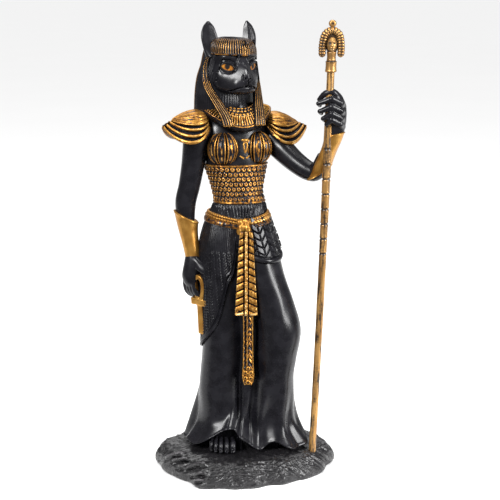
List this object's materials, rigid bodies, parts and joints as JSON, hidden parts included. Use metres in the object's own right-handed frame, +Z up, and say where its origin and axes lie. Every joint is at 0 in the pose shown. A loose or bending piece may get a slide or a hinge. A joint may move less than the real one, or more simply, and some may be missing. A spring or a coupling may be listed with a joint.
{
  "type": "cat-headed goddess figurine",
  "caption": "Standing cat-headed goddess figurine in a long gown on a rocky base, one hand holding a tall staff and the other an ankh.",
  "frame": {"origin": "middle of the whole object's bounding box in X and Y, on the underside of the base", "axes": "+Z up; the base's front and the skirt face -Y; +X is to the viewer's right, where the staff stands"},
  "size_m": [0.1212, 0.0942, 0.2912],
  "materials": {
    "black_resin": "satin-gloss black paint on cast resin",
    "gold_paint": "dry-brushed antique gold over black",
    "staff_gold": "worn brown-gold paint",
    "rock": "rough charcoal paint with grey dry-brushing"
  },
  "bodies": {
    "root": {"figure": "black_resin", "staff": "staff_gold"}
  },
  "joints": []
}
